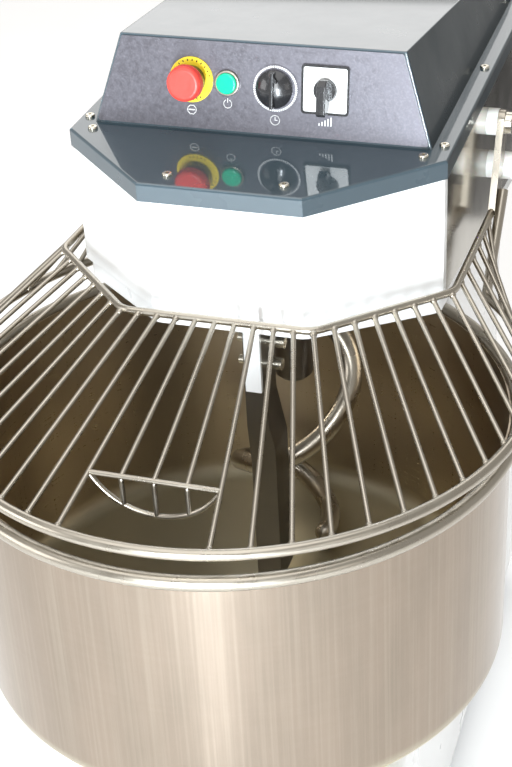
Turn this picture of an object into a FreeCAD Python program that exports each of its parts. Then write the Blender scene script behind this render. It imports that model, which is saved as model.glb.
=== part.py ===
"""Spiral dough mixer: millimetres, +Z up, front faces -Y, origin on the floor under its middle.

A fixed base, column and head carry a turning bowl, a spiral hook with its own motor,
a hinged wire guard over the bowl and a small sloping console with four controls.
"""
import FreeCAD, Part
import math
import os

V = FreeCAD.Vector
UP = V(0, 0, 1)

# Overall layout
BACK = 499.0            # back plane of base, column and head
BASE_HALF = 215.0       # half width of the base
BASE_FRONT = -343.0
BASE_BOTTOM = 25.0
BASE_TOP = 315.0
COLUMN_HALF = 180.0
COLUMN_FRONT = 155.0
HEAD_HALF = 212.0       # half width of the head
HEAD_NOSE = 86.6        # half width of the flat front of the head
HEAD_FRONT = -173.0
HEAD_CORNER = -59.5     # where the angled faces meet the sides
HEAD_TOP = 987.5
HEAD_LOW = 839.0        # lower edge of the head at its front
PAN_LOW = 818.0         # lower face of the bottom pan at its front
HEAD_FALL = 0.119       # the underside falls this much per millimetre towards the back
SHEET = 2.0

# Cover and console
COVER_TOP = 990.0
COVER_FRONT = -180.0
COVER_NOSE = 90.3
COVER_CORNER = -61.0
COVER_SKIRT = 21.0
COVER_SHEET = 2.5
COVER_BACK = 503.5
CONSOLE_FRONT = -37.3
CONSOLE_HALF = 193.1
CONSOLE_BACK = 495.0
CONSOLE_HEIGHT = 100.0
CONSOLE_LEAN = 10.5     # degrees that the control face leans back
CONSOLE_SIDE = 0.321    # the sides lean in this much per millimetre of height
CONSOLE_FALL = 0.11     # the top falls this much per millimetre towards the back
OVERLAY = 1.5

# Controls: place across the face and up the face
ESTOP_AT = (-77.0, 56.2)
START_AT = (-35.5, 55.3)
TIMER_AT = (18.7, 52.8)
SPEED_AT = (75.0, 55.6)
SPEED_PLATE = 48.4

# Bowl
BOWL_Y = -180.0
BOWL_R = 308.0          # outer radius of the wall
BOWL_SHEET = 2.5
BOWL_BOTTOM = 419.0
BOWL_KNUCKLE = 26.0
RIM_R = 315.5           # centreline of the round rim bar
RIM_BAR = 8.0
RIM_Z = 732.0
BOWL_SHAFT = 22.5

# Spiral and its spindle
SPINDLE = (10.0, 25.0)
SPINDLE_R = 17.5
HUB_R = 23.0
HUB_FLANGE = 34.0
HUB_LOW = 646.0
HUB_TOP = 800.0
HOOK_BAR = 12.5
# Angle, distance from the spindle and height along the middle of the hook's bar
HOOK_STATIONS = [
    (80, 6, 737), (60, 24, 725), (43, 44, 710), (24, 59, 692), (4, 73, 658), (-20, 72, 622),
    (-45, 66, 592), (-73, 68, 572), (-110, 72, 552), (-142, 73, 536), (-168, 73, 516), (-198, 73, 494),
    (-225, 69, 476), (-251, 60, 462), (-303, 38, 447), (-371, 45, 444), (-405, 66, 444),
]

BREAKER_BOLT_Y = -84.0

# Drives
FIT = 0.05              # radial running clearance of shafts
GAP = 0.3               # clearance between parts that move past each other
SPIRAL_MOTOR = (0.0, 330.0)
BOWL_MOTOR = (0.0, 290.0)
SMALL_PULLEY = 35.0
SPIRAL_PULLEY = 100.0
BOWL_PULLEY = 120.0
BELT = 5.0

# Guard
RING_Y = -165.0
RING_Z = 764.0
RING_R = 327.6
RING_BAR = 6.0
WIRE_R = 4.25
SPOKE_R = 2.75
SPOKE_STEP = 6.95       # degrees between spokes at the ring
SPOKES_EACH_SIDE = 18
CHUTE_SPOKES = 2        # the chute's bar ends on these spokes, left and right
CHUTE_Y = -412.8
CHUTE_DROP = 42.0
ARM_IN = 225.0
ARM_OUT = 233.0
ARM_WIDTH = 30.0
PIVOT = V(0, 190, 928)
ARM_DOWN = V(0, -0.42, -0.9075)
ARM_LENGTH = 112.0
WIRE_FRONT = -211.0
WIRE_Z = 854.4
WIRE_FALL = 0.05


def save(node, *solids):
    """Write one node and print its volume in cubic centimetres."""
    shape = solids[0] if len(solids) == 1 else Part.makeCompound(list(solids))
    state = "ok" if shape.isValid() else "INVALID"
    print(f"{node:24s} {len(shape.Solids):3d} solids {shape.Volume / 1000:10.2f} cm3 {state}")
    shape.exportStep("parts/" + node + ".step")


def box(low, high):
    """Box between two opposite corners."""
    size = [b - a for a, b in zip(low, high)]
    return Part.makeBox(*size, V(*low))


def cylinder(radius, low, high, x=0.0, y=0.0):
    """Upright cylinder between two heights."""
    return Part.makeCylinder(radius, high - low, V(x, y, low))


def tube(outer, inner, low, high, x=0.0, y=0.0):
    """Upright tube between two heights."""
    return cylinder(outer, low, high, x, y).cut(cylinder(inner, low - 1, high + 1, x, y))


def pin_x(radius, x0, x1, y, z):
    """Round pin lying across the machine."""
    return Part.makeCylinder(radius, x1 - x0, V(x0, y, z), V(1, 0, 0))


def prism(points, low, high):
    """Upright prism over an outline of (x, y) points."""
    corners = [V(x, y, low) for x, y in points]
    face = Part.Face(Part.makePolygon(corners + corners[:1]))
    return face.extrude(V(0, 0, high - low))


def join(first, *others):
    """One solid from several that touch."""
    return first.multiFuse(list(others)).removeSplitter()


def mirror_x(shape):
    """The same shape on the other side of the middle plane."""
    return shape.mirror(V(0, 0, 0), V(1, 0, 0))


def edges_where(shape, test):
    """Edges whose every vertex passes the test."""
    return [edge for edge in shape.Edges if all(test(vertex.Point) for vertex in edge.Vertexes)]


def upright(edge):
    """True for a straight edge that runs along Z."""
    points = [vertex.Point for vertex in edge.Vertexes]
    return len(points) == 2 and abs((points[1] - points[0]).normalize().z) > 0.999


def bent_path(points, bend):
    """Straight runs through the points, with an arc of radius bend at each corner."""
    edges = []
    start = points[0]
    for before, corner, after in zip(points, points[1:], points[2:]):
        back = (before - corner).normalize()
        ahead = (after - corner).normalize()
        half = back.getAngle(ahead) / 2
        run = bend / math.tan(half)
        first = corner + back * run
        last = corner + ahead * run
        middle = corner + (back + ahead).normalize() * (bend / math.sin(half) - bend)
        edges.append(Part.LineSegment(start, first).toShape())
        edges.append(Part.Arc(first, middle, last).toShape())
        start = last
    edges.append(Part.LineSegment(start, points[-1]).toShape())
    return Part.Wire(edges)


def sweep_round(path, radius, start, ahead):
    """Round bar along a path."""
    profile = Part.Wire(Part.makeCircle(radius, start, ahead))
    return path.makePipeShell([profile], True, False)


def bar(points, radius, bend):
    """Round bar bent through the points."""
    return sweep_round(bent_path(points, bend), radius, points[0], points[1] - points[0])


def straight_bar(start, end, radius):
    """Straight round bar."""
    return Part.makeCylinder(radius, (end - start).Length, start, end - start)


def belt(first, first_r, second, second_r, low, high):
    """Belt round two upright pulleys, drawn with a small clearance to both."""
    loops = []
    for extra in (GAP, GAP + BELT):
        (x0, y0), (x1, y1) = first, second
        a, b = first_r + extra, second_r + extra
        length = math.hypot(x1 - x0, y1 - y0)
        heading = math.atan2(y1 - y0, x1 - x0)
        lean = math.acos((a - b) / length)
        corners = []
        for x, y, r, turn in ((x0, y0, a, lean), (x1, y1, b, lean), (x1, y1, b, -lean), (x0, y0, a, -lean)):
            corners.append((x + r * math.cos(heading + turn), y + r * math.sin(heading + turn)))
        ends = [cylinder(a, low, high, x0, y0), cylinder(b, low, high, x1, y1)]
        loops.append(join(prism(corners, low, high), *ends))
    return loops[1].cut(loops[0])


def pulley(radius, bore, low, high, x, y):
    """Flat pulley with two rims that keep the belt on."""
    parts = [cylinder(radius, low, high, x, y)]
    for z in (low - 3, high):
        parts.append(cylinder(radius + BELT + 3, z, z + 3, x, y))
    return join(*parts).cut(cylinder(bore, low - 10, high + 10, x, y))


# ---------------------------------------------------------------- base and column

def rounded_block(half, front, back, low, high, corner, edge):
    """Block with rounded upright front corners and a rounded top edge."""
    block = box((-half, front, low), (half, back, high))
    block = block.makeFillet(corner, [e for e in block.Edges if upright(e) and e.Vertexes[0].Point.y < 0])
    top = edges_where(block, lambda p: abs(p.z - high) < 0.01)
    return block.makeFillet(edge, [e for e in top if e.BoundBox.YMin < back - 1])


def build_base():
    wall = 3.0
    outer = rounded_block(BASE_HALF, BASE_FRONT, BACK, BASE_BOTTOM, BASE_TOP, 45.0, 14.0)
    inner = rounded_block(
        BASE_HALF - wall, BASE_FRONT + wall, BACK - wall, BASE_BOTTOM - 5, BASE_TOP - wall, 42.0, 11.0)
    shell = outer.cut(inner).cut(cylinder(80, 300, 320, 0, BOWL_Y))
    save("base_shell", shell)

    inside = BASE_HALF - wall
    plate = box((-inside, BASE_FRONT + 46, BASE_BOTTOM), (inside, BACK - wall, BASE_BOTTOM + 6))
    for y0, y1 in ((-240, -20), (60, 430)):
        plate = plate.cut(box((-140, y0, 0), (140, y1, 60)))
    rails = [box((x, -290, 31), (x + 30, 485, 61)) for x in (-200, 170)]
    plate = join(plate, *rails)
    feet_at = [(x, y) for x in (-170, 170) for y in (-262, 455)]
    for x, y in feet_at:
        plate = plate.cut(cylinder(6.2, 20, 70, x, y))
    save("base_chassis", plate)

    feet = []
    studs = []
    for x, y in feet_at:
        pad = Part.makeCone(32, 26, 18, V(x, y, 0))
        pad = pad.cut(cylinder(6, 8, 20, x, y))
        feet.append(pad)
        studs.append(join(cylinder(6, 8, 70, x, y), cylinder(15, 18, BASE_BOTTOM, x, y)))
    save("feet", *feet)
    save("foot_studs", *studs)


def build_column():
    wall = 4.0
    shell = box((-COLUMN_HALF, COLUMN_FRONT, BASE_TOP), (COLUMN_HALF, BACK, 880))
    rounded = [e for e in shell.Edges if upright(e) and e.Vertexes[0].Point.y < BACK - 1]
    shell = shell.makeFillet(12, rounded)
    shell = shell.cut(box((-176, COLUMN_FRONT + wall, 300), (176, BACK - wall, 900)))
    shell = shell.cut(box((-140, BACK - 10, 350), (140, BACK + 10, 720)))
    shell = shell.cut(pin_x(8.1, -190, -170, 420, 380))
    for x, z in BACK_SCREWS:
        shell = shell.cut(Part.makeCylinder(2.6, 12, V(x, BACK - 8, z), V(0, 1, 0)))
    save("column_shell", shell)

    panel = box((-165, BACK, 330), (165, BACK + 1.5, 736))
    for x in (-75, 75):
        for row in range(9):
            z = 400 + row * 34
            slot = box((x - 52, BACK - 2, z), (x + 52, BACK + 4, z + 7))
            hood = box((x - 55, BACK + 1.5, z + 7), (x + 55, BACK + 4, z + 10))
            panel = panel.cut(slot).fuse(hood)
    for x, z in BACK_SCREWS:
        panel = panel.cut(Part.makeCylinder(2.8, 12, V(x, BACK - 5, z), V(0, 1, 0)))
    save("column_back_cover", panel)


BACK_SCREWS = [(x, z) for x in (-152, 152) for z in (342, 533, 724)]


# ---------------------------------------------------------------- head

def underside(z_front, y):
    """Height of the falling underside at a place y."""
    return z_front - HEAD_FALL * (y - HEAD_FRONT)


def below(z_front):
    """Everything under the falling underside."""
    points = [(-400, underside(z_front, -400)), (700, underside(z_front, 700)), (700, 0), (-400, 0)]
    corners = [V(-400, y, z) for y, z in points]
    return Part.Face(Part.makePolygon(corners + corners[:1])).extrude(V(800, 0, 0))


def nose(half, flat, front, corner, back, low, high, inset=0.0):
    """Prism with an angled front: flat in the middle, then faces that run back to the sides.

    inset draws the front and the sides in by a sheet thickness; the back stays where it is.
    """
    turn = math.atan2(corner - front, half - flat)
    flat -= inset * math.tan(turn / 2)
    corner += inset * math.tan(math.pi / 4 - turn / 2)
    half -= inset
    front += inset
    outline = [(-half, back), (-half, corner), (-flat, front), (flat, front), (half, corner), (half, back)]
    return prism(outline, low, high)


def build_head():
    plan = (HEAD_HALF, HEAD_NOSE, HEAD_FRONT, HEAD_CORNER)
    outer = nose(*plan, HEAD_CORNER + 14, 700, HEAD_TOP)
    front = outer.cut(nose(*plan, HEAD_CORNER + 20, 690, 1000, SHEET))
    front = front.cut(below(HEAD_LOW))
    save("head_front_shell", front)

    side = box((HEAD_HALF - SHEET, HEAD_CORNER + 14, 700), (HEAD_HALF, BACK, HEAD_TOP)).cut(below(HEAD_LOW))
    side = side.cut(pin_x(8.1, 200, 220, PIVOT.y, PIVOT.z)).cut(pin_x(6.1, 200, 220, PEG.y, PEG.z))
    save("head_side_right", side)
    save("head_side_left", mirror_x(side))

    back = box((-HEAD_HALF, BACK, 700), (HEAD_HALF, BACK + SHEET, HEAD_TOP)).cut(below(HEAD_LOW))
    save("head_back_panel", back.cut(box((-166, BACK - 1, 700), (166, BACK + 5, 737))))

    inset = 3.5
    tray = nose(*plan, BACK - 1, 700, 900, inset)
    tray = tray.makeFillet(22, [e for e in tray.Edges if upright(e) and e.Vertexes[0].Point.y < 0])
    hollow = nose(*plan, BACK + 5, 690, 990, inset + SHEET)
    hollow = hollow.makeFillet(20, [e for e in hollow.Edges if upright(e) and e.Vertexes[0].Point.y < 0])
    above = box((-400, -400, 700), (400, 700, 1000)).cut(below(HEAD_LOW + 6))
    tray = tray.cut(below(PAN_LOW)).cut(above)
    tray = tray.cut(hollow.cut(below(PAN_LOW + SHEET)))
    tray = tray.cut(cylinder(HUB_FLANGE + 4, 700, 900, *SPINDLE))
    tray = tray.cut(box((-16, -130, 700), (40, -62, 900)))
    tray = tray.cut(box((-COLUMN_HALF - 0.5, COLUMN_FRONT - 0.5, 700), (COLUMN_HALF + 0.5, 600, 900)))
    save("head_bottom_pan", tray)

    outline = [(-205, 490), (-205, -50), (-115, -135), (115, -135), (205, -50), (205, 490)]
    plate = prism(outline, 880, 888)
    plate = plate.cut(cylinder(50, 870, 900, *SPINDLE)).cut(cylinder(46, 870, 900, *SPIRAL_MOTOR))
    save("head_frame_plate", plate)


def build_cover():
    plan = (BASE_HALF, COVER_NOSE, COVER_FRONT, COVER_CORNER)
    outer = nose(*plan, COVER_BACK, COVER_TOP - COVER_SKIRT, COVER_TOP)
    rounded = edges_where(outer, lambda p: abs(p.z - COVER_TOP) < 0.01)
    outer = outer.makeFillet(3, rounded)
    inner = nose(
        *plan, COVER_BACK - COVER_SHEET, COVER_TOP - COVER_SKIRT - 5, COVER_TOP - COVER_SHEET, COVER_SHEET)
    cover = outer.cut(inner).cut(box((-150, 20, 980), (150, 420, 1000)))
    for x, y in COVER_SCREWS:
        cover = cover.cut(cylinder(2.8, 980, 1000, x, y))
    save("top_cover", cover)

    screws = []
    for x, y in COVER_SCREWS:
        head = Part.makeCylinder(5.5, 3.2, V(x, y, COVER_TOP))
        head = head.makeFillet(1.6, [e for e in head.Edges if e.BoundBox.ZMin > COVER_TOP + 3])
        socket = Part.makeCylinder(1.8, 2.5, V(x, y, COVER_TOP + 1.2))
        screws.append(join(head, cylinder(2.5, 975, COVER_TOP, x, y)).cut(socket))
    for x, z in BACK_SCREWS:
        head = Part.makeCylinder(5, 2.4, V(x, BACK + 1.5, z), V(0, 1, 0))
        shank = Part.makeCylinder(2.5, 9, V(x, BACK - 7, z), V(0, 1, 0))
        screws.append(join(head, shank))
    save("cover_screws", *screws)


COVER_SCREWS = [(side * x, y) for x, y in ((204, -26), (188, -57), (64, -155), (204, 200), (204, 450))
                for side in (-1, 1)]


# ---------------------------------------------------------------- console and controls

def console_block(inset, low):
    """Solid of the console, drawn in by inset on every face but the open bottom."""
    tilt = math.tan(math.radians(CONSOLE_LEAN))
    top = COVER_TOP + CONSOLE_HEIGHT - inset
    front = CONSOLE_FRONT + inset * 1.02
    back = CONSOLE_BACK - inset

    def half(z):
        return CONSOLE_HALF - inset * 1.05 - CONSOLE_SIDE * (z - COVER_TOP)

    front_top = front + tilt * (top - COVER_TOP)
    back_top = top - CONSOLE_FALL * (back - front_top)
    ends = []
    for side in (-1, 1):
        ends.append([
            V(side * half(low), front + tilt * (low - COVER_TOP), low),
            V(side * half(top), front_top, top),
            V(side * half(back_top), back, back_top),
            V(side * half(low), back, low),
        ])
    left, right = ends
    faces = [left, right]
    for i in range(4):
        j = (i + 1) % 4
        faces.append([left[i], left[j], right[j], right[i]])
    shell = Part.makeShell([Part.Face(Part.makePolygon(f + f[:1])) for f in faces])
    solid = Part.makeSolid(shell)
    return solid if solid.Volume > 0 else solid.reversed()


def on_face(shape, at=(0.0, 0.0)):
    """Move a shape from the control face's own axes (right, up the face, outwards) to its place."""
    x, up = at
    lean = math.radians(CONSOLE_LEAN)
    place = V(x, CONSOLE_FRONT + up * math.sin(lean), COVER_TOP + up * math.cos(lean))
    turn = FreeCAD.Rotation(V(1, 0, 0), 90 - CONSOLE_LEAN)
    shape = shape.copy()
    shape.Placement = FreeCAD.Placement(place, turn).multiply(shape.Placement)
    return shape


def square(half, low, high, corner):
    """Square plate with rounded corners, in the control face's axes."""
    plate = box((-half, -half, low), (half, half, high))
    return plate.makeFillet(corner, [e for e in plate.Edges if upright(e)])


def panel_holes():
    """Holes behind the four controls."""
    holes = []
    for at, radius in ((ESTOP_AT, 11.05), (START_AT, 11.05), (TIMER_AT, 4.5), (SPEED_AT, 6.0)):
        holes.append(on_face(cylinder(radius, -6, 6), at))
    return holes


def build_console():
    outer = console_block(0, COVER_TOP)
    rounded = [e for e in outer.Edges if max(v.Point.z for v in e.Vertexes) > COVER_TOP + 1]
    outer = outer.makeFillet(2, rounded)
    shell = outer.cut(console_block(2.5, COVER_TOP - 8))
    for hole in panel_holes():
        shell = shell.cut(hole)
    save("control_console", shell)

    height = CONSOLE_HEIGHT / math.cos(math.radians(CONSOLE_LEAN))
    margin = 2.4
    foot = CONSOLE_HALF - margin - 0.8
    top = CONSOLE_HALF - CONSOLE_SIDE * CONSOLE_HEIGHT - margin
    plate = prism([(-foot, margin), (foot, margin), (top, height - margin), (-top, height - margin)], 0, OVERLAY)
    plate = plate.makeFillet(3, [e for e in plate.Edges if upright(e)])
    plate = on_face(plate)
    for hole in panel_holes():
        plate = plate.cut(hole)
    save("panel_overlay", plate)


def build_emergency_stop():
    collar = tube(25, 11.05, OVERLAY, OVERLAY + 2)
    save("estop_collar", on_face(collar, ESTOP_AT))

    barrel = join(cylinder(16, 3.5, 12), cylinder(11, -26, 3.5))
    barrel = barrel.cut(cylinder(5 + FIT, -30, 20))
    save("estop_barrel", on_face(barrel, ESTOP_AT))
    save("estop_stem", on_face(cylinder(5, -24, 26), ESTOP_AT))

    flare = Part.makeCone(17, 20, 3.5, V(0, 0, 17.5))
    cap = Part.makeCone(20, 19, 11, V(0, 0, 21))
    cap = cap.makeFillet(5, [e for e in cap.Edges if e.BoundBox.ZMin > 31.9])
    head = join(flare, cap).cut(cylinder(5 + FIT, 10, 26 + GAP))
    save("estop_head", on_face(head, ESTOP_AT))


def build_start_button():
    ring = tube(14, 11.9, OVERLAY, 6)
    ring = ring.makeFillet(0.9, [e for e in ring.Edges if e.BoundBox.ZMin > 5.9 and e.BoundBox.XMax > 13])
    ring = join(ring, tube(12.5, 8.1, OVERLAY, 1.8), tube(11, 8.1, -22, OVERLAY))
    save("start_bezel", on_face(ring, START_AT))
    cap = cylinder(11.6, 5.2, 9.4)
    cap = cap.makeFillet(2.2, [e for e in cap.Edges if e.BoundBox.ZMin > 9.3])
    save("start_cap", on_face(join(cap, cylinder(8, -8, 5.2)), START_AT))


def build_timer():
    save("timer_dial", on_face(tube(26, 4.5, OVERLAY, OVERLAY + 0.8), TIMER_AT))
    dome = Part.makeSphere(30.7, V(0, 0, -15.7)).common(cylinder(20.5, OVERLAY + 0.8 + GAP, 20))
    fin = box((-2.2, -19.5, 5), (2.2, 19.5, 18.5))
    fin = fin.makeFillet(1.2, [e for e in fin.Edges if e.BoundBox.ZMax > 18.4])
    arrow = prism([(-6.5, 9), (6.5, 9), (0, 19.5)], 5, 17.5)
    knob = join(dome, fin, arrow, cylinder(3, -14, 6))
    save("timer_knob", on_face(knob, TIMER_AT))


def build_speed_switch():
    half = SPEED_PLATE / 2
    frame = square(half + 2.4, OVERLAY, 4.5, 4).cut(square(half, 0, 6, 2.5))
    save("speed_frame", on_face(frame, SPEED_AT))
    plate = square(half, OVERLAY, 4.0, 2.5).cut(cylinder(5, 0, 6))
    save("speed_plate", on_face(plate, SPEED_AT))
    knob = join(Part.makeCone(13, 12, 4, V(0, 0, 4 + GAP)), cylinder(4, -16, 6))
    side = [(12.5, 7.5), (12.5, 15), (7.5, 22.5), (-22.5, 24), (-25.5, 21), (-25.5, 14), (-13, 7.5)]
    corners = [V(-5, up, out) for up, out in side]
    lever = Part.Face(Part.makePolygon(corners + corners[:1])).extrude(V(10, 0, 0))
    lever = lever.makeFillet(1.2, edges_where(lever, lambda p: p.z > 13))
    save("speed_knob", on_face(join(knob, lever), SPEED_AT))


def build_switch_bodies():
    blocks = []
    for at in (ESTOP_AT, START_AT):
        blocks.append(on_face(box((-14, -18, -62), (14, 18, -32)), at))
    blocks.append(on_face(box((-24, -24, -52), (24, 24, -16)), TIMER_AT))
    blocks.append(on_face(box((-22, -22, -60), (22, 22, -18)), SPEED_AT))
    save("switch_bodies", *blocks)


# ---------------------------------------------------------------- bowl and its drive

def bowl_profile(radius, low, high, knuckle):
    """Solid of revolution under the bowl's wall line."""
    bend = radius - knuckle
    diagonal = knuckle * math.sqrt(0.5)
    corner = V(bend + diagonal, 0, low + knuckle - diagonal)
    edges = [
        Part.LineSegment(V(0, 0, low), V(bend, 0, low)).toShape(),
        Part.Arc(V(bend, 0, low), corner, V(radius, 0, low + knuckle)).toShape(),
        Part.LineSegment(V(radius, 0, low + knuckle), V(radius, 0, high)).toShape(),
        Part.LineSegment(V(radius, 0, high), V(0, 0, high)).toShape(),
        Part.LineSegment(V(0, 0, high), V(0, 0, low)).toShape(),
    ]
    solid = Part.Face(Part.Wire(edges)).revolve(V(0, 0, 0), UP, 360)
    solid.translate(V(0, BOWL_Y, 0))
    return solid


def build_bowl():
    outer = bowl_profile(BOWL_R, BOWL_BOTTOM, RIM_Z, BOWL_KNUCKLE)
    inner = bowl_profile(BOWL_R - BOWL_SHEET, BOWL_BOTTOM + BOWL_SHEET, RIM_Z + 5, BOWL_KNUCKLE - BOWL_SHEET)
    save("bowl_shell", outer.cut(inner))
    save("bowl_rim_bar", Part.makeTorus(RIM_R, RIM_BAR, V(0, BOWL_Y, RIM_Z)))

    shaft = join(
        cylinder(85, 403, BOWL_BOTTOM, 0, BOWL_Y), cylinder(34, 380, 403, 0, BOWL_Y),
        cylinder(BOWL_SHAFT, 78, 380, 0, BOWL_Y))
    save("bowl_shaft", shaft)
    save("bowl_pulley", pulley(BOWL_PULLEY, BOWL_SHAFT, 95, 130, 0, BOWL_Y))


def build_bowl_drive():
    save("bowl_neck", tube(96, 90, BASE_TOP, 392, 0, BOWL_Y))
    housing = join(cylinder(60, 185, 366, 0, BOWL_Y), cylinder(100, 303, 312, 0, BOWL_Y))
    housing = housing.cut(cylinder(30, 180, 370, 0, BOWL_Y))
    for low, high in ((180, 207), (344, 370)):
        housing = housing.cut(cylinder(42.5, low, high, 0, BOWL_Y))
    save("bowl_bearing_housing", housing)
    bearings = [tube(42.5, BOWL_SHAFT + FIT, low, low + 22, 0, BOWL_Y) for low in (185, 344)]
    save("bowl_bearings", *bearings)

    x, y = BOWL_MOTOR
    motor = join(cylinder(72, 165, 300, x, y), cylinder(95, 300, 312, x, y))
    motor = motor.cut(cylinder(12 + FIT, 150, 280, x, y))
    save("bowl_motor", motor)
    rotor = join(cylinder(12, 85, 270, x, y), pulley(SMALL_PULLEY, 12, 95, 130, x, y))
    save("bowl_motor_rotor", rotor)
    save("bowl_belt", belt((0, BOWL_Y), BOWL_PULLEY, BOWL_MOTOR, SMALL_PULLEY, 97, 128))


# ---------------------------------------------------------------- spiral and its drive

def hook_path():
    """Smooth path of the spiral bar through its stations."""
    points = []
    for angle, radius, height in HOOK_STATIONS:
        turn = math.radians(angle)
        points.append(V(SPINDLE[0] + radius * math.cos(turn), SPINDLE[1] + radius * math.sin(turn), height))
    curve = Part.BSplineCurve()
    curve.interpolate(points)
    return curve


def build_spiral():
    hub = join(cylinder(HUB_R, HUB_LOW, HUB_TOP, *SPINDLE), cylinder(HUB_FLANGE, HUB_TOP, 812, *SPINDLE))
    hub = hub.makeChamfer(5, [e for e in hub.Edges if e.BoundBox.ZMax < HUB_LOW + 0.1])
    save("spiral_hub", hub)

    curve = hook_path()
    start = curve.value(curve.FirstParameter)
    ahead = curve.tangent(curve.FirstParameter)[0]
    hook = sweep_round(Part.Wire(curve.toShape()), HOOK_BAR, start, ahead)
    hook = hook.fuse(Part.makeSphere(HOOK_BAR, curve.value(curve.LastParameter)))
    hook = hook.cut(cylinder(HUB_R, HUB_LOW - 5, HUB_TOP, *SPINDLE))
    solids = sorted(hook.Solids, key=lambda solid: solid.Volume)
    save("spiral_hook", solids[-1])
    print("hook length", round(curve.length()), "volume check", round(curve.length() * math.pi * HOOK_BAR ** 2))

    save("spindle_shaft", cylinder(SPINDLE_R, 812, 962, *SPINDLE))
    save("spindle_pulley", pulley(SPIRAL_PULLEY, SPINDLE_R, 915, 953, *SPINDLE))


def build_spiral_drive():
    x, y = SPINDLE
    housing = join(cylinder(50, 818, 905, x, y), tube(78, 50, 888, 897, x, y))
    housing = housing.cut(cylinder(24, 810, 910, x, y))
    for low, high in ((810, 838), (886, 910)):
        housing = housing.cut(cylinder(36, low, high, x, y))
    save("spindle_housing", housing)
    save("spindle_bearings", *[tube(36, SPINDLE_R + FIT, low, low + 18, x, y) for low in (820, 886)])

    x, y = SPIRAL_MOTOR
    motor = join(cylinder(80, 640, 868, x, y), cylinder(100, 868, 880, x, y))
    for turn in range(0, 360, 20):
        fin = box((x + 79, y - 2, 660), (x + 86, y + 2, 850))
        fin.rotate(V(x, y, 0), UP, turn)
        motor = motor.fuse(fin)
    motor = motor.cut(cylinder(14 + FIT, 690, 900, x, y))
    save("spiral_motor", motor)
    rotor = join(cylinder(14, 700, 962, x, y), pulley(SMALL_PULLEY, 14, 915, 953, x, y))
    save("spiral_motor_rotor", rotor)
    save("spindle_belt", belt(SPINDLE, SPIRAL_PULLEY, SPIRAL_MOTOR, SMALL_PULLEY, 917, 951))


def build_breaker():
    front, back = -120.0, -72.0
    side = [(-4, 880), (-4, 660), (-1, 610), (-1, 436), (29, 436), (29, 632), (18, 690), (18, 880)]
    corners = [V(x, front, z) for x, z in side]
    blade = Part.Face(Part.makePolygon(corners + corners[:1])).extrude(V(0, back - front, 0))
    bends = [e for e in blade.Edges if e.Length > back - front - 0.1 and 600 < e.BoundBox.ZMin < 700
             and e.BoundBox.YLength > 40]
    blade = blade.makeFillet(26, bends)

    strap = box((-1, front - 6, 712), (18, front, 880))
    cheek = box((-10, front - 6, 790), (-4, back - 6, 880))
    web = box((-10, front - 6, 790), (-1, front, 880))
    bracket = join(strap, web, cheek)

    bolts = []
    for z, reach in ((758, 26), (728, 22)):
        nut = pin_x(8, -13, -4, BREAKER_BOLT_Y, z)
        spacer = pin_x(6.5, 18, reach, BREAKER_BOLT_Y, z)
        head = pin_x(7.5, reach, reach + 9, BREAKER_BOLT_Y, z)
        bolts.append(join(pin_x(5, -21, reach, BREAKER_BOLT_Y, z), nut, spacer, head))
    for z in (815, 850):
        heads = [pin_x(8, -15, -10, BREAKER_BOLT_Y, z), pin_x(8, 18, 26, BREAKER_BOLT_Y, z)]
        bolts.append(join(pin_x(5, -15, 26, BREAKER_BOLT_Y, z), *heads))
    for z in (758, 728, 815, 850):
        hole = pin_x(5, -30, 60, BREAKER_BOLT_Y, z)
        blade = blade.cut(hole)
        bracket = bracket.cut(hole)
    save("breaker_bar", blade)
    save("breaker_bracket", bracket)
    save("breaker_bolts", *bolts)


# ---------------------------------------------------------------- guard

def wire_point(x, y):
    """Point on the inner wire's slightly falling plane."""
    return V(x, y, WIRE_Z - WIRE_FALL * (y - WIRE_FRONT))


WIRE_CORNERS = [(0, WIRE_FRONT), (106, WIRE_FRONT), (229, -84), (229, 134)]


def along_wire(distance):
    """Point this far along the right half of the inner wire."""
    left = distance
    for (x0, y0), (x1, y1) in zip(WIRE_CORNERS, WIRE_CORNERS[1:]):
        length = math.hypot(x1 - x0, y1 - y0)
        if left <= length:
            break
        left -= length
    share = left / length
    return wire_point(x0 + (x1 - x0) * share, y0 + (y1 - y0) * share)


def spoke_ends(number):
    """Inner and outer end of a spoke; number 0 is the middle one, negative ones are on the left."""
    count = abs(number)
    side = -1 if number < 0 else 1
    distance = 21.4 * min(count, 5) + 24.5 * min(max(count - 5, 0), 7) + 33.0 * max(count - 12, 0)
    inner = along_wire(distance)
    turn = math.radians(SPOKE_STEP * count)
    reach = RING_R - 2.5
    outer = V(reach * math.sin(turn), RING_Y - reach * math.cos(turn), RING_Z)
    return V(side * inner.x, inner.y, inner.z), V(side * outer.x, outer.y, outer.z)


def at_chute(number):
    """Point of a spoke over the chute's bar."""
    inner, outer = spoke_ends(number)
    share = (CHUTE_Y - inner.y) / (outer.y - inner.y)
    return inner + (outer - inner) * share


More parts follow.
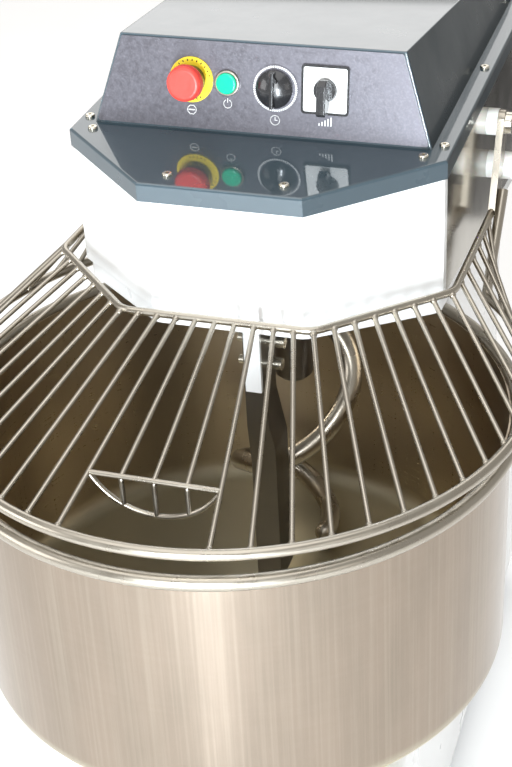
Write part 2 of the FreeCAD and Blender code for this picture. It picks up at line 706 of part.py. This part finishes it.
def build_guard_wires():
    spokes = []
    for number in range(-SPOKES_EACH_SIDE, SPOKES_EACH_SIDE + 1):
        if abs(number) >= CHUTE_SPOKES:
            spokes.append(straight_bar(*spoke_ends(number), SPOKE_R))
    save("guard_spokes", *spokes)

    left, right = at_chute(-CHUTE_SPOKES), at_chute(CHUTE_SPOKES)
    half = right.x
    radius = (half ** 2 + CHUTE_DROP ** 2) / (2 * CHUTE_DROP)
    lowest = V(0, CHUTE_Y, right.z - CHUTE_DROP)
    arc = Part.Wire(Part.Arc(left, lowest, right).toShape())
    centre = lowest + V(0, 0, radius)
    tangent = (left - centre).cross(V(0, 1, 0))
    pieces = [straight_bar(left, right, SPOKE_R), sweep_round(arc, SPOKE_R, left, tangent)]
    for number in range(1 - CHUTE_SPOKES, CHUTE_SPOKES):
        top = V(at_chute(number).x, CHUTE_Y, right.z)
        drop = math.sqrt(radius ** 2 - top.x ** 2) - (radius - CHUTE_DROP)
        pieces.append(bar([spoke_ends(number)[0], top, top - V(0, 0, drop)], SPOKE_R, 6))
    save("guard_chute", join(*pieces))

    corners = [wire_point(x, y) for x, y in WIRE_CORNERS[1:]]
    mirrored = [V(-p.x, p.y, p.z) for p in reversed(corners)]
    save("guard_inner_wire", bar(mirrored + corners, WIRE_R, 26))


def build_guard_ring():
    leg_x = ARM_OUT + RING_BAR
    turn_run = 8.0
    end = math.pi - math.asin((leg_x + turn_run * 0.66) / RING_R)
    circle = Part.Face(Part.Wire(Part.makeCircle(RING_BAR, V(0, -RING_R, 0), V(1, 0, 0))))
    arc = circle.revolve(V(0, 0, 0), UP, 2 * math.degrees(end))
    arc.rotate(V(0, 0, 0), UP, -math.degrees(end))
    arc.translate(V(0, RING_Y, RING_Z))

    first = V(RING_R * math.sin(end), RING_Y - RING_R * math.cos(end), RING_Z)
    ahead = V(math.cos(end), math.sin(end), 0)
    corner = first + ahead * turn_run
    top = V(leg_x, 152, 858)
    leg = bar([first, corner, top], RING_BAR, 13)
    save("guard_ring", join(arc, leg, mirror_x(leg)))


def build_guard_arms():
    across = V(0, ARM_DOWN.z, -ARM_DOWN.y)
    half = ARM_WIDTH / 2
    top = PIVOT - ARM_DOWN * half
    low = PIVOT + ARM_DOWN * ARM_LENGTH
    corners = [top + across * half, low + across * half, low - across * half, top - across * half]
    corners = [V(ARM_IN, p.y, p.z) for p in corners]
    arm = Part.Face(Part.makePolygon(corners + corners[:1])).extrude(V(ARM_OUT - ARM_IN, 0, 0))
    along_x = [e for e in arm.Edges if e.BoundBox.XLength > 1]
    arm = arm.makeFillet(12, [e for e in along_x if e.BoundBox.ZMin > PIVOT.z])
    arm = arm.cut(pin_x(8 + FIT, 200, 240, PIVOT.y, PIVOT.z))
    save("guard_arms", arm, mirror_x(arm))

    bush = pin_x(16, HEAD_HALF, ARM_IN - GAP, PIVOT.y, PIVOT.z).cut(pin_x(8, 200, 240, PIVOT.y, PIVOT.z))
    save("guard_bushes", bush, mirror_x(bush))
    bolt = join(
        pin_x(8, 196, ARM_OUT + GAP, PIVOT.y, PIVOT.z),
        pin_x(13, ARM_OUT + GAP, ARM_OUT + 8, PIVOT.y, PIVOT.z),
        pin_x(13, 200, HEAD_HALF - SHEET, PIVOT.y, PIVOT.z))
    save("guard_bolts", bolt, mirror_x(bolt))
    peg = join(pin_x(16.5, HEAD_HALF, ARM_OUT + 14, PEG.y, PEG.z), pin_x(6, 200, HEAD_HALF, PEG.y, PEG.z))
    save("guard_stop_pegs", peg, mirror_x(peg))


# The stop peg stands behind the arm, clear of its back edge by the moving gap.
PEG = PIVOT + ARM_DOWN * 50 - V(0, ARM_DOWN.z, -ARM_DOWN.y) * (ARM_WIDTH / 2 + 16.5 + GAP)


# ---------------------------------------------------------------- electrics

def build_electrics():
    case = box((-168, 380, 480), (-100, 470, 640))
    case = case.cut(box((-165, 383, 483), (-103, 467, 643)))
    rail = box((-165, 400, 500), (-160, 450, 620))
    save("contactor_box", join(case, rail))
    gland = join(
        pin_x(8, -196, -172, 420, 380), pin_x(12, -186, -180, 420, 380), pin_x(11, -205, -186, 420, 380),
        pin_x(12, -176, -171, 420, 380))
    save("cable_gland", gland.cut(pin_x(5, -210, -165, 420, 380)))


os.makedirs("parts", exist_ok=True)
build_base()
build_column()
build_head()
build_cover()
build_console()
build_emergency_stop()
build_start_button()
build_timer()
build_speed_switch()
build_switch_bodies()
build_bowl()
build_bowl_drive()
build_spiral()
build_spiral_drive()
build_breaker()
build_guard_wires()
build_guard_ring()
build_guard_arms()
build_electrics()
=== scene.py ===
"""Looks for a floor-standing spiral dough mixer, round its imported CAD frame. Metres, +Z up, front is -Y."""

import math

import bmesh
import bpy
from mathutils import Matrix, Vector


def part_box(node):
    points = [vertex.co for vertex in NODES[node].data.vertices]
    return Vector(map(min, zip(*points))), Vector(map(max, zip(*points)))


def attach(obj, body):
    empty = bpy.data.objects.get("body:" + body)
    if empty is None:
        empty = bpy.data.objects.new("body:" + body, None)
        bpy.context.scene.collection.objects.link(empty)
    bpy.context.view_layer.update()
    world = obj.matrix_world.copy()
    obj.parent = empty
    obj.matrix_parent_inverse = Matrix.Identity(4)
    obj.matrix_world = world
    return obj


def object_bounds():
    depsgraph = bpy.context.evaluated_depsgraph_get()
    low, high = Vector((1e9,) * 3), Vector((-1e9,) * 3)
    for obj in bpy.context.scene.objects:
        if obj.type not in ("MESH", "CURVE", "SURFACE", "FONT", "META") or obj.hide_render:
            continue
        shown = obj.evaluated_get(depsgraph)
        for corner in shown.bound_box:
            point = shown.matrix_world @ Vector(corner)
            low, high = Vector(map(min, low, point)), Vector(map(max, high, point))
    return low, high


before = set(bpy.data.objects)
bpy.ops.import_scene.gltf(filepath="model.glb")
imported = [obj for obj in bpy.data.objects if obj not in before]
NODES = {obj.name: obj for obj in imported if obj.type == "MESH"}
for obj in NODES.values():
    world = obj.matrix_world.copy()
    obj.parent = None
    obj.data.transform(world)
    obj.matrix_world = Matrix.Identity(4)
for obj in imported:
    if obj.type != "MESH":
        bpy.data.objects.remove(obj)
CAD_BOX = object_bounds()

# Camera
CAMERA_AT = Vector((0.53134, -1.62308, 1.72520))
CAMERA_AZIMUTH = 19.144
CAMERA_ELEVATION = 32.270
CAMERA_ROLL = -3.156
CAMERA_LENS = 77.5

# Control face: how far it leans back, in degrees. The controls' places come from the frame.
FACE_LEAN = 10.5

# Printed marks: thickness, and widths of the lines of the pictograms
MARK = 0.00015
LINE = 0.0009
FINE_LINE = 0.0008
BAR_LINE = 0.0014

# Colours of the bowl: its outside, and the paler ones of its inside and bottom, which are painted light
BOWL_OUTSIDE = (0.35, 0.287, 0.232)
BOWL_INSIDE_PAINTED_LIGHT = (0.58, 0.49, 0.37)
BOWL_FLOOR_PAINTED_LIGHT = (0.66, 0.62, 0.46)

# Colours of the blue enamel: the top and front, and a darker copy painted on the side faces as painted shade
BLUE_TOP = (0.045, 0.072, 0.09)
BLUE_SIDE_SHADE = (0.008, 0.014, 0.018)


# ---------------------------------------------------------------- stage

def place_camera():
    """Camera with a small roll, aimed by azimuth and elevation."""
    azimuth, elevation, roll = (math.radians(a) for a in (CAMERA_AZIMUTH, CAMERA_ELEVATION, CAMERA_ROLL))
    back = Vector((math.sin(azimuth) * math.cos(elevation), -math.cos(azimuth) * math.cos(elevation),
                   math.sin(elevation)))
    right = (-back).cross(Vector((0, 0, 1))).normalized()
    up = right.cross(-back)
    across = right * math.cos(roll) + up * math.sin(roll)
    upward = up * math.cos(roll) - right * math.sin(roll)
    data = bpy.data.cameras.new("camera")
    data.lens = CAMERA_LENS
    data.sensor_width = 36
    data.clip_start = 0.05
    data.clip_end = 60
    camera = bpy.data.objects.new("camera", data)
    bpy.context.scene.collection.objects.link(camera)
    turn = Matrix((across, upward, back)).transposed().to_4x4()
    camera.matrix_world = Matrix.Translation(CAMERA_AT) @ turn
    bpy.context.scene.camera = camera


def area_light(name, at, aim, size, radiance, colour=(1, 1, 1)):
    """Soft panel light of a given brightness."""
    data = bpy.data.lights.new(name, "AREA")
    data.shape = "RECTANGLE"
    data.size, data.size_y = size
    data.energy = radiance * math.pi * size[0] * size[1]
    data.color = colour
    light = bpy.data.objects.new(name, data)
    bpy.context.scene.collection.objects.link(light)
    light.location = at
    light.rotation_euler = (Vector(aim) - Vector(at)).to_track_quat("-Z", "Y").to_euler()


def build_stage():
    """Pale floor, a dark mat that the right side mirrors, and soft light from all round."""
    mesh = bpy.data.meshes.new("floor")
    mesh.from_pydata([(-9, -9, 0), (9, -9, 0), (9, 9, 0), (-9, 9, 0)], [], [(0, 1, 2, 3)])
    floor = bpy.data.objects.new("floor", mesh)
    bpy.context.scene.collection.objects.link(floor)
    floor.location.z = CAD_BOX[0][2] - 0.0005
    look = Look("floor", (0.93, 0.93, 0.93), 0.6)
    look.vary_roughness(look.noise(6), 0.55, 0.7)
    look.shader.inputs["Emission Color"].default_value = (1, 1, 1, 1)
    look.shader.inputs["Emission Strength"].default_value = 0.12
    floor.data.materials.append(look.material)

    mesh = bpy.data.meshes.new("dark_mat")
    corners = [(0.45, 1.75), (1.7, 1.75), (1.7, 3.0), (0.45, 3.0)]
    mesh.from_pydata([(x, y, CAD_BOX[0][2] + 0.001) for x, y in corners], [], [(0, 1, 2, 3)])
    mat = bpy.data.objects.new("dark_mat", mesh)
    bpy.context.scene.collection.objects.link(mat)
    look = Look("dark_mat", (0.03, 0.03, 0.032), 0.9)
    look.vary_roughness(look.noise(9), 0.85, 0.95)
    mat.data.materials.append(look.material)

    world = bpy.data.worlds.new("studio")
    world.use_nodes = True
    background = world.node_tree.nodes["Background"]
    background.inputs["Color"].default_value = (1.0, 0.97, 0.92, 1)
    background.inputs["Strength"].default_value = 0.5
    bpy.context.scene.world = world
    bpy.context.scene.view_settings.view_transform = "Standard"
    bpy.context.scene.view_settings.look = "None"

    area_light("key", (0.0, -4.0, 2.2), (0, 0, 0.8), (1.1, 2.0), 9.5, (0.95, 0.98, 1.0))
    area_light("strip", (0.5, -3.6, 0.75), (0, -0.18, 0.55), (0.1, 1.5), 430.0, (0.84, 0.93, 1.0))
    area_light("left", (-3.6, -2.4, 1.9), (0, 0, 0.8), (2.0, 2.4), 3.0)
    area_light("low", (0.6, -3.6, 0.75), (0, 0, 0.95), (1.6, 1.3), 2.4)
    area_light("top", (-0.2, -0.6, 3.6), (0, 0, 0.8), (3.0, 3.0), 1.5)
    area_light("back", (-1.1, 3.4, 3.0), (0.0, 0, 1.0), (3.6, 3.2), 1.3)
    area_light("right", (3.4, -3.2, 2.2), (0, 0, 0.8), (1.6, 2.0), 1.0, (1.0, 0.96, 0.9))


# ---------------------------------------------------------------- materials

class Look:
    """A principled material, with shorthand for the procedural nodes that give it detail."""

    def __init__(self, name, colour, roughness, metallic=0.0, **sockets):
        self.material = bpy.data.materials.new(name + "_look")
        self.material.use_nodes = True
        self.tree = self.material.node_tree
        self.shader = self.tree.nodes["Principled BSDF"]
        self.colour = colour
        self.shader.inputs["Base Color"].default_value = (*colour, 1)
        self.shader.inputs["Roughness"].default_value = roughness
        self.shader.inputs["Metallic"].default_value = metallic
        for socket, value in sockets.items():
            self.shader.inputs[socket.replace("_", " ")].default_value = value
        self.place = self.tree.nodes.new("ShaderNodeTexCoord").outputs["Object"]

    def link(self, output, target):
        self.tree.links.new(output, target)

    def stretched(self, scale, offset=(0, 0, 0)):
        """Object coordinates scaled per axis."""
        node = self.tree.nodes.new("ShaderNodeMapping")
        node.inputs["Scale"].default_value = scale
        node.inputs["Location"].default_value = offset
        self.link(self.place, node.inputs["Vector"])
        return node.outputs["Vector"]

    def around(self, centre, scale):
        """Coordinates that run round an upright axis: angle, radius and height."""
        x, y = centre
        moved = self.stretched((1, 1, 1), (-x, -y, 0))
        split = self.tree.nodes.new("ShaderNodeSeparateXYZ")
        self.link(moved, split.inputs[0])
        angle = self.math("ARCTAN2", split.outputs["Y"], split.outputs["X"])
        squares = [self.math("MULTIPLY", split.outputs[axis], split.outputs[axis]) for axis in ("X", "Y")]
        radius = self.math("SQRT", self.math("ADD", *squares))
        join = self.tree.nodes.new("ShaderNodeCombineXYZ")
        for socket, value, size in zip(("X", "Y", "Z"), (angle, radius, split.outputs["Z"]), scale):
            self.link(self.math("MULTIPLY", value, size), join.inputs[socket])
        return join.outputs["Vector"]

    def math(self, operation, *values):
        """One maths node over sockets or numbers."""
        node = self.tree.nodes.new("ShaderNodeMath")
        node.operation = operation
        for socket, value in zip(node.inputs, values):
            if isinstance(value, (int, float)):
                socket.default_value = value
            else:
                self.link(value, socket)
        return node.outputs[0]

    def noise(self, scale, detail=3.0, vector=None, rough=0.55):
        """Noise factor between 0 and 1."""
        node = self.tree.nodes.new("ShaderNodeTexNoise")
        node.inputs["Scale"].default_value = scale
        node.inputs["Detail"].default_value = detail
        node.inputs["Roughness"].default_value = rough
        self.link(vector or self.place, node.inputs["Vector"])
        return node.outputs["Fac"]

    def spread(self, factor, low, high, start=0.3, end=0.7):
        """Remap a factor between start and end to the range low to high."""
        node = self.tree.nodes.new("ShaderNodeMapRange")
        for socket, value in (("From Min", start), ("From Max", end), ("To Min", low), ("To Max", high)):
            node.inputs[socket].default_value = value
        self.link(factor, node.inputs["Value"])
        return node.outputs["Result"]

    def edges(self, radius):
        """Factor that is 1 close to sharp edges."""
        bevel = self.tree.nodes.new("ShaderNodeBevel")
        bevel.samples = 4
        bevel.inputs["Radius"].default_value = radius
        true = self.tree.nodes.new("ShaderNodeNewGeometry")
        dot = self.tree.nodes.new("ShaderNodeVectorMath")
        dot.operation = "DOT_PRODUCT"
        self.link(bevel.outputs["Normal"], dot.inputs[0])
        self.link(true.outputs["Normal"], dot.inputs[1])
        return self.spread(dot.outputs["Value"], 1.0, 0.0, 0.6, 0.96)

    def tint(self, factor, colour):
        """Mix the base colour towards another one by a factor."""
        mix = self.tree.nodes.new("ShaderNodeMix")
        mix.data_type = "RGBA"
        self.link(factor, mix.inputs["Factor"])
        base = self.shader.inputs["Base Color"]
        if base.is_linked:
            self.link(base.links[0].from_socket, mix.inputs["A"])
        else:
            mix.inputs["A"].default_value = base.default_value
        mix.inputs["B"].default_value = (*colour, 1)
        self.link(mix.outputs["Result"], base)

    def vary_roughness(self, factor, low, high):
        self.link(self.spread(factor, low, high), self.shader.inputs["Roughness"])

    def bump(self, factor, distance, strength=1.0, soft_edge=0.0):
        """Relief from a factor, over rounded edge normals where soft_edge is given."""
        node = self.tree.nodes.new("ShaderNodeBump")
        node.inputs["Strength"].default_value = strength
        node.inputs["Distance"].default_value = distance
        self.link(factor, node.inputs["Height"])
        normal = self.shader.inputs["Normal"]
        if soft_edge:
            bevel = self.tree.nodes.new("ShaderNodeBevel")
            bevel.samples = 4
            bevel.inputs["Radius"].default_value = soft_edge
            self.link(bevel.outputs["Normal"], node.inputs["Normal"])
        elif normal.is_linked:
            self.link(normal.links[0].from_socket, node.inputs["Normal"])
        self.link(node.outputs["Normal"], normal)


def painted_look(name, colour, roughness, coat, worn, edge, peel=0.00003, **sockets):
    """Stoved enamel: orange peel, faint smears and, where a colour is given, slightly worn edges."""
    look = Look(name, colour, roughness, Coat_Weight=coat, Coat_Roughness=0.04, **sockets)
    smear = look.noise(5, 4)
    darker = tuple(c * 0.9 for c in colour)
    look.tint(look.spread(smear, 0.0, 0.5), darker)
    if worn:
        look.tint(look.math("MULTIPLY", look.edges(0.0012), look.spread(look.noise(60, 3), 0, 0.35)), worn)
    look.vary_roughness(look.noise(14, 4), roughness * 0.85, roughness * 1.25)
    look.bump(look.noise(380, 2), peel, soft_edge=edge)
    return look


def blue_enamel():
    """Dark blue-grey enamel. Faces that look sideways are given painted shade, a darker colour, and have less
    clear coat.
    """
    look = painted_look("painted_blue", BLUE_TOP, 0.3, 1.0, (0.3, 0.33, 0.36), 0.0012, 1e-5,
                        Specular_IOR_Level=0.12, Coat_IOR=1.8)
    true = look.tree.nodes.new("ShaderNodeNewGeometry")
    split = look.tree.nodes.new("ShaderNodeSeparateXYZ")
    look.link(true.outputs["Normal"], split.inputs[0])
    sideways = look.math("ABSOLUTE", split.outputs["X"])
    look.link(look.spread(sideways, 1.0, 0.12, 0.55, 0.95), look.shader.inputs["Coat Weight"])
    # painted shade: faces that look sideways are tinted darker
    look.tint(look.spread(sideways, 0.0, 0.8, 0.55, 0.95), BLUE_SIDE_SHADE)
    return look.material


def brushed_bowl():
    """Stainless bowl with faint rings and upright streaks; rougher inside and at the bottom, and paler there
    by painted light.
    """
    low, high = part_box("bowl_shell")
    centre = ((low.x + high.x) / 2, (low.y + high.y) / 2)
    look = Look("stainless_brushed", BOWL_OUTSIDE, 0.3, 1.0, Anisotropic=0.85, Anisotropic_Rotation=0.25)
    tangent = look.tree.nodes.new("ShaderNodeTangent")
    tangent.direction_type = "RADIAL"
    tangent.axis = "Z"
    look.link(tangent.outputs["Tangent"], look.shader.inputs["Tangent"])
    rings = look.noise(1, 3, look.around(centre, (1.2, 60, 420)), 0.6)
    upright = look.noise(1, 4, look.around(centre, (70, 2, 2)), 0.65)
    clouds = look.noise(1, 4, look.around(centre, (5, 3, 5)), 0.6)
    look.tint(look.spread(rings, 0, 0.18, 0.35, 0.65), (0.31, 0.25, 0.19))
    look.tint(look.spread(clouds, 0, 0.5, 0.42, 0.68), (0.27, 0.23, 0.185))
    look.tint(look.spread(upright, 0, 0.3, 0.45, 0.7), (0.5, 0.43, 0.35))
    split = look.tree.nodes.new("ShaderNodeSeparateXYZ")
    look.link(look.place, split.inputs[0])
    bottom = look.spread(split.outputs["Z"], 1.0, 0.0, low.z + 0.004, low.z + 0.03)
    polar = look.tree.nodes.new("ShaderNodeSeparateXYZ")
    look.link(look.around(centre, (1, 1, 1)), polar.inputs[0])
    wall = (high.x - low.x) / 2
    inside = look.spread(polar.outputs["Y"], 1.0, 0.0, wall - 0.0018, wall - 0.0008)
    # painted light: the inside and the bottom are tinted paler than the outside
    look.tint(look.math("MULTIPLY", inside, 0.8), BOWL_INSIDE_PAINTED_LIGHT)
    look.tint(look.math("MULTIPLY", bottom, 0.8), BOWL_FLOOR_PAINTED_LIGHT)
    streaks = look.math("MULTIPLY", look.math("ADD", rings, upright), 0.5)
    dull = look.math("MULTIPLY", look.math("ADD", inside, bottom), 0.13)
    rough = look.math("ADD", look.spread(streaks, 0.13, 0.2), dull)
    look.link(rough, look.shader.inputs["Roughness"])
    look.bump(rings, 0.000008)
    return look.material


def polished(name, colour, low, high, grain=(40, 40, 40), depth=0.00002):
    """Polished stainless with faint drawn marks and handling smears."""
    look = Look(name, colour, low, 1.0)
    marks = look.noise(1, 4, look.stretched(grain), 0.65)
    look.vary_roughness(look.noise(22, 4), low, high)
    look.tint(look.spread(look.noise(9, 3), 0, 0.3), tuple(c * 0.75 for c in colour))
    look.bump(marks, depth)
    return look.material


def panel_sheet():
    """Side sheets of the head: cold-rolled stainless with vertical streaks."""
    look = Look("stainless_panel", (0.3, 0.27, 0.215), 0.16, 1.0)
    streaks = look.noise(1, 3, look.stretched((60, 60, 1.5)), 0.6)
    look.tint(look.spread(streaks, 0, 0.35), (0.31, 0.275, 0.21))
    look.vary_roughness(look.noise(8, 4), 0.1, 0.2)
    look.bump(look.noise(1, 2, look.stretched((9, 9, 2.5))), 0.0006)
    return look.material


def console_overlay():
    """Satin overlay of the control face with a mottled metallic texture."""
    look = Look("panel_grey", (0.12, 0.116, 0.134), 0.34, 0.55)
    mottle = look.noise(70, 4, rough=0.7)
    look.tint(look.spread(mottle, 0, 0.55, 0.35, 0.65), (0.115, 0.11, 0.125))
    look.tint(look.spread(look.noise(420, 2), 0, 0.3, 0.45, 0.7), (0.22, 0.21, 0.24))
    look.vary_roughness(look.noise(160, 3), 0.3, 0.46)
    look.bump(look.noise(900, 2), 0.00005)
    return look.material


def moulded(name, colour, roughness, speck=0.00002, coat=0.0, subsurface=0.0):
    """Moulded plastic: fine spark texture, tone drift and rubbed edges."""
    look = Look(name, colour, roughness, Coat_Weight=coat, Coat_Roughness=0.06, Subsurface_Weight=subsurface)
    look.shader.inputs["Subsurface Scale"].default_value = 0.003
    look.tint(look.spread(look.noise(60, 3), 0, 0.35), tuple(c * 0.82 for c in colour))
    rubbed = tuple(min(1.0, c * 1.3 + 0.05) for c in colour)
    look.tint(look.math("MULTIPLY", look.edges(0.0006), 0.25), rubbed)
    look.vary_roughness(look.noise(240, 3), roughness * 0.8, min(1.0, roughness * 1.25))
    look.bump(look.noise(1400, 2), speck, soft_edge=0.0005)
    return look.material


def cast(name, colour, roughness, metallic, grain, depth):
    """Rough metal of the hidden works: pitted skin, oily darker patches."""
    look = Look(name, colour, roughness, metallic)
    look.tint(look.spread(look.noise(18, 5), 0, 0.6), tuple(c * 0.55 for c in colour))
    look.vary_roughness(look.noise(40, 4), roughness * 0.7, min(1.0, roughness * 1.3))
    look.bump(look.noise(grain, 4), depth, soft_edge=0.0006)
    return look.material


def build_looks():
    """One material for each of the record's slots."""
    return {
        "painted_white": painted_look("painted_white", (0.87, 0.87, 0.865), 0.3, 0.25, None, 0.0012).material,
        "painted_blue": blue_enamel(),
        "panel_grey": console_overlay(),
        "stainless_brushed": brushed_bowl(),
        "stainless_polished": polished("stainless_polished", (0.47, 0.43, 0.365), 0.22, 0.36),
        "stainless_panel": panel_sheet(),
        "dark_steel": polished("dark_steel", (0.2, 0.185, 0.17), 0.28, 0.42, (300, 300, 12), 0.00003),
        "nylon_white": moulded("nylon_white", (0.84, 0.83, 0.8), 0.4, subsurface=0.15),
        "red_plastic": moulded("red_plastic", (0.85, 0.06, 0.045), 0.36),
        "yellow_plastic": moulded("yellow_plastic", (0.9, 0.68, 0.03), 0.38),
        "green_plastic": moulded("green_plastic", (0.0, 0.56, 0.29), 0.2, coat=0.5),
        "black_plastic": moulded("black_plastic", (0.018, 0.018, 0.02), 0.24, coat=0.6),
        "white_plastic": moulded("white_plastic", (0.85, 0.85, 0.84), 0.35),
        "grey_plastic": moulded("grey_plastic", (0.42, 0.42, 0.44), 0.4),
        "zinc_screw": polished("zinc_screw", (0.78, 0.74, 0.64), 0.18, 0.34, (500, 500, 500), 0.00003),
        "rubber_black": cast("rubber_black", (0.03, 0.03, 0.03), 0.75, 0.0, 500, 0.0001),
        "motor_paint": cast("motor_paint", (0.12, 0.17, 0.22), 0.5, 0.0, 220, 0.00012),
        "frame_steel": cast("frame_steel", (0.2, 0.2, 0.21), 0.5, 0.6, 160, 0.00008),
        "cast_iron": cast("cast_iron", (0.16, 0.155, 0.15), 0.6, 0.7, 300, 0.0002),
        "bright_steel": polished("bright_steel", (0.62, 0.61, 0.6), 0.2, 0.34, (20, 20, 900), 0.00002),
    }


LOOKS = build_looks()


def dress_nodes():
    """Give every CAD node the look of its slot."""
    for node in NODES.values():
        for slot in node.material_slots:
            slot.material = LOOKS[slot.material.name]


# ---------------------------------------------------------------- pieces

def add_piece(name, mesh, body, slot, material=None, smooth=True):
    """Turn a mesh into a piece that rides on a body."""
    piece = bpy.data.objects.new(name, mesh)
    bpy.context.scene.collection.objects.link(piece)
    mesh.materials.append(material or LOOKS[slot])
    for polygon in mesh.polygons:
        polygon.use_smooth = smooth
    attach(piece, body)
    return piece


def face_axes(node, out):
    """Matrix of the control face's axes, centred on a node."""
    lean = math.radians(FACE_LEAN)
    low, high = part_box(node)
    along = Vector((0, math.sin(lean), math.cos(lean)))
    outward = Vector((0, -math.cos(lean), math.sin(lean)))
    axes = Matrix((Vector((1, 0, 0)), along, outward)).transposed().to_4x4()
    return Matrix.Translation((low + high) / 2 + outward * out) @ axes


def slab(mesh_data, corners, thick):
    """Add a thin upright slab over an outline to a bmesh."""
    bottom = [mesh_data.verts.new((x, y, 0)) for x, y in corners]
    top = [mesh_data.verts.new((x, y, thick)) for x, y in corners]
    mesh_data.faces.new(top)
    mesh_data.faces.new(list(reversed(bottom)))
    for i in range(len(corners)):
        j = (i + 1) % len(corners)
        mesh_data.faces.new((bottom[i], bottom[j], top[j], top[i]))


def finish_mesh(name, mesh_data, matrix=None):
    """Mesh datablock from a bmesh."""
    if matrix is not None:
        mesh_data.transform(matrix)
    bmesh.ops.recalc_face_normals(mesh_data, faces=mesh_data.faces)
    mesh = bpy.data.meshes.new(name)
    mesh_data.to_mesh(mesh)
    mesh_data.free()
    return mesh


def ticks(mesh_data, count, inner, outer, width, thick, start=0.0, sweep=360.0):
    """Radial marks on a circle; the angle is measured clockwise from the top."""
    for i in range(count):
        turn = math.radians(90 - start - sweep * i / count)
        ahead = Vector((math.cos(turn), math.sin(turn)))
        aside = Vector((-ahead.y, ahead.x)) * width / 2
        corners = [ahead * inner - aside, ahead * outer - aside, ahead * outer + aside, ahead * inner + aside]
        slab(mesh_data, [tuple(c) for c in corners], thick)


def build_timer_scale():
    """White marks round the timer knob."""
    marks = bmesh.new()
    ticks(marks, 60, 0.0226, 0.0249, 0.0017, MARK)
    mesh = finish_mesh("timer_scale", marks, face_axes("timer_dial", 0.0003))
    add_piece("timer_scale", mesh, "mixer", "white_plastic", smooth=False)


def outline(points, width):
    """Strips along an open or closed line, each one a little longer than its step so that corners close."""
    strips = []
    for (x0, y0), (x1, y1) in zip(points, points[1:]):
        ahead = Vector((x1 - x0, y1 - y0)).normalized()
        aside = Vector((-ahead.y, ahead.x)) * width / 2
        first = Vector((x0, y0)) - ahead * width / 2
        last = Vector((x1, y1)) + ahead * width / 2
        strips.append([tuple(first - aside), tuple(last - aside), tuple(last + aside), tuple(first + aside)])
    return strips


def round_line(radius, start, end, steps):
    """Points on an arc about the origin, angles in degrees."""
    turns = [math.radians(start + (end - start) * i / steps) for i in range(steps + 1)]
    return [(radius * math.cos(t), radius * math.sin(t)) for t in turns]


def stop_symbol():
    """Octagon with a bar across it."""
    return outline(round_line(0.0052, 22.5, 382.5, 8), LINE) + outline([(-0.0026, 0), (0.0026, 0)], 0.0013)


def start_symbol():
    """Open circle with an upright bar at its gap."""
    return outline(round_line(0.0046, 120, 420, 18), LINE) + outline([(0, 0.0018), (0, 0.0058)], LINE)


def clock_symbol():
    """Clock face with two hands."""
    hands = outline([(0, 0.0032), (0, 0), (0.0024, 0)], FINE_LINE)
    return outline(round_line(0.0052, 0, 360, 20), LINE) + hands


def speed_symbol():
    """Rising row of bars."""
    bars = []
    for i in range(5):
        x = -0.0066 + 0.0033 * i
        bars += outline([(x, -0.0042), (x, -0.0028 + 0.0018 * i)], BAR_LINE)
    return bars


def build_symbols():
    """Generic white pictograms below the four controls."""
    places = [("estop_collar", -0.0335, stop_symbol()), ("start_bezel", -0.0245, start_symbol()),
              ("timer_dial", -0.0345, clock_symbol()), ("speed_plate", -0.0345, speed_symbol())]
    level = face_axes("panel_overlay", 0).inverted()
    top = max((level @ v.co).z for v in NODES["panel_overlay"].data.vertices)
    marks = bmesh.new()
    for node, drop, strips in places:
        at = level @ face_axes(node, 0).translation
        part = bmesh.new()
        for strip in strips:
            slab(part, strip, MARK)
        part.transform(Matrix.Translation((at.x, at.y + drop, top)))
        copy = bpy.data.meshes.new("symbol")
        part.to_mesh(copy)
        part.free()
        marks.from_mesh(copy)
        bpy.data.meshes.remove(copy)
    mesh = finish_mesh("control_symbols", marks, face_axes("panel_overlay", 0))
    add_piece("control_symbols", mesh, "mixer", "white_plastic", smooth=False)


def build_collar_marks():
    """Small dark marks on the yellow collar."""
    marks = bmesh.new()
    ticks(marks, 9, 0.0206, 0.0228, 0.0012, 0.00012, -40, 130)
    ticks(marks, 5, 0.0206, 0.0228, 0.0012, 0.00012, 150, 60)
    mesh = finish_mesh("collar_marks", marks, face_axes("estop_collar", 0.00095))
    add_piece("collar_marks", mesh, "mixer", "black_plastic", smooth=False)


def islands(node):
    """Vertex places of each separate solid in a node."""
    source = bmesh.new()
    source.from_mesh(NODES[node].data)
    bmesh.ops.remove_doubles(source, verts=source.verts, dist=1e-6)
    left = set(source.verts)
    groups = []
    while left:
        stack = [left.pop()]
        group = []
        while stack:
            vertex = stack.pop()
            group.append(vertex.co.copy())
            for edge in vertex.link_edges:
                other = edge.other_vert(vertex)
                if other in left:
                    left.remove(other)
                    stack.append(other)
        groups.append(group)
    source.free()
    groups.sort(key=lambda g: (round(sum(v.x for v in g) / len(g), 4), len(g)))
    return groups


def bar_ends(points):
    """Middle of each end face of a straight bar."""
    first = max(points, key=lambda p: (p - points[0]).length)
    last = max(points, key=lambda p: (p - first).length)
    along = (last - first).normalized()
    reach = [p.dot(along) for p in points]
    ends = []
    for limit in (min(reach), max(reach)):
        near = [p for p, r in zip(points, reach) if abs(r - limit) < 0.0008]
        ends.append(sum(near, Vector()) / len(near))
    return ends


def build_weld_beads():
    """Small welds where the guard's spokes meet the ring and the inner wire."""
    beads = bmesh.new()
    for points in islands("guard_spokes"):
        ends = bar_ends(points)
        for end, other in (ends, reversed(ends)):
            inward = (other - end).normalized()
            turn = inward.to_track_quat("Z", "Y").to_matrix().to_4x4()
            shape = Matrix.Diagonal((0.0042, 0.0036, 0.0052, 1))
            where = Matrix.Translation(end + inward * 0.0035)
            bmesh.ops.create_icosphere(beads, subdivisions=2, radius=1, matrix=where @ turn @ shape)
    add_piece("weld_beads", finish_mesh("weld_beads", beads), "guard", "stainless_polished")


place_camera()
build_stage()
dress_nodes()
build_timer_scale()
build_symbols()
build_collar_marks()
build_weld_beads()
